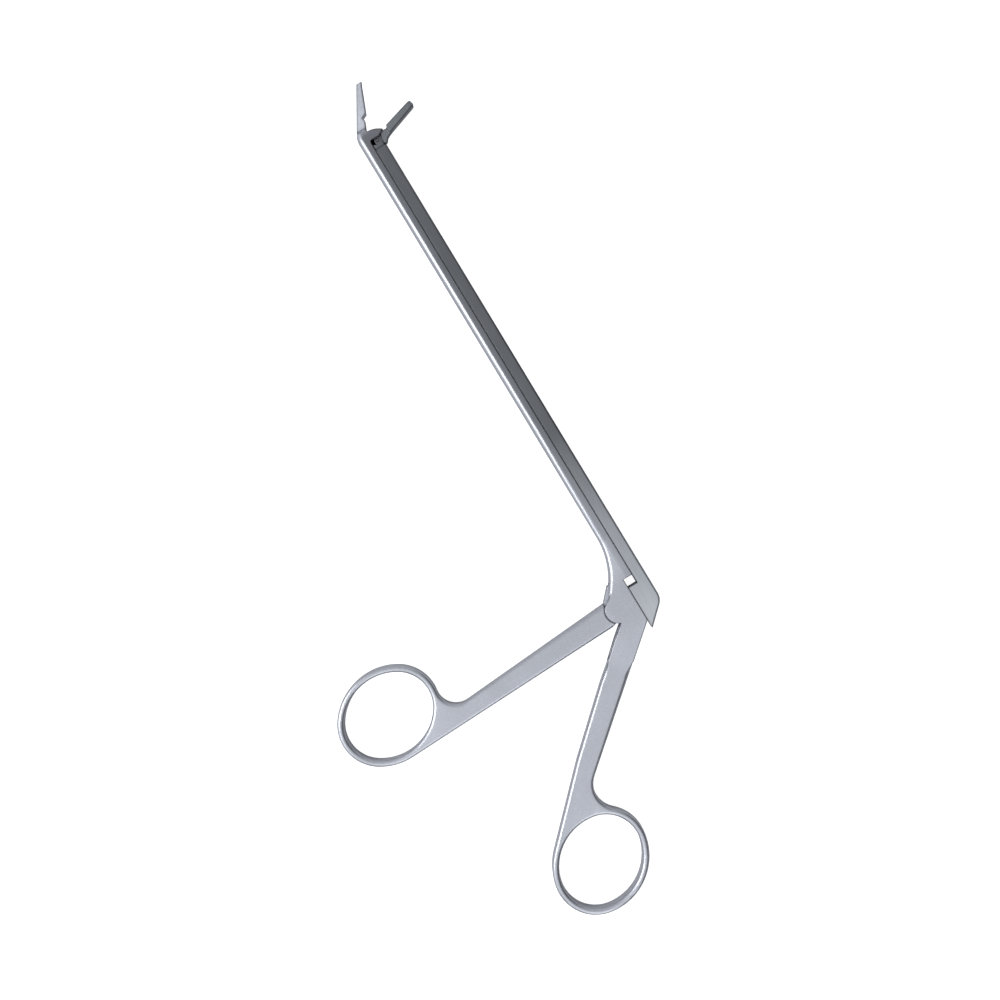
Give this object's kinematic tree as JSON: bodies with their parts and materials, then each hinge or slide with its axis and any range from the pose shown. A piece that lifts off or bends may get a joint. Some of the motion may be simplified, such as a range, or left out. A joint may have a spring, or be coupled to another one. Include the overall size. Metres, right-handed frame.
{
  "type": "bone rongeur",
  "caption": "Slim ring-handled bone rongeur whose upper shaft slides along a lower one and shuts a small up-angled cup jaw on a fixed cup jaw.",
  "frame": {"origin": "on the handle pivot's axis, in the flat side face that the instrument lies on", "axes": "+Y along the shaft to the jaws, +X from the lower shaft to the sliding one, +Z across the width, up from the face it lies on"},
  "size_m": [0.1174, 0.2518, 0.0064],
  "materials": {
    "satin_steel": "satin, bead-blasted",
    "shaft_steel": "fine satin, darker along the shaft",
    "pin_steel": "ground flush"
  },
  "bodies": {
    "frame": {"main_frame": "satin_steel", "handle_pivot_pin": "pin_steel", "jaw_pivot_pin": "pin_steel"},
    "slider": {"sliding_shaft": "shaft_steel", "slider_link_pin": "pin_steel", "jaw_drive_pin": "pin_steel"},
    "squeeze_handle": {"front_handle": "satin_steel"},
    "bite_jaw": {"moving_jaw": "shaft_steel"}
  },
  "joints": [
    {"name": "handle_squeeze", "type": "hinge", "parent": "frame", "child": "squeeze_handle", "pos_m": [0, 0, 0.0032], "axis": [0, 0, 1], "range_deg": [0, 19.08]},
    {"name": "shaft_slide", "type": "slide", "parent": "frame", "child": "slider", "axis": [0, 1, 0], "range_m": [0, 0.00269]},
    {"name": "jaw_bite", "type": "hinge", "parent": "frame", "child": "bite_jaw", "pos_m": [0.0084, 0.1587, 0.0032], "axis": [0, 0, 1], "range_deg": [0, 51.5]}
  ],
  "couplings": [
    {"joint": "shaft_slide", "follows": "handle_squeeze", "m_per_rad": 0.0080748},
    {"joint": "jaw_bite", "follows": "handle_squeeze", "ratio": 2.6991}
  ]
}
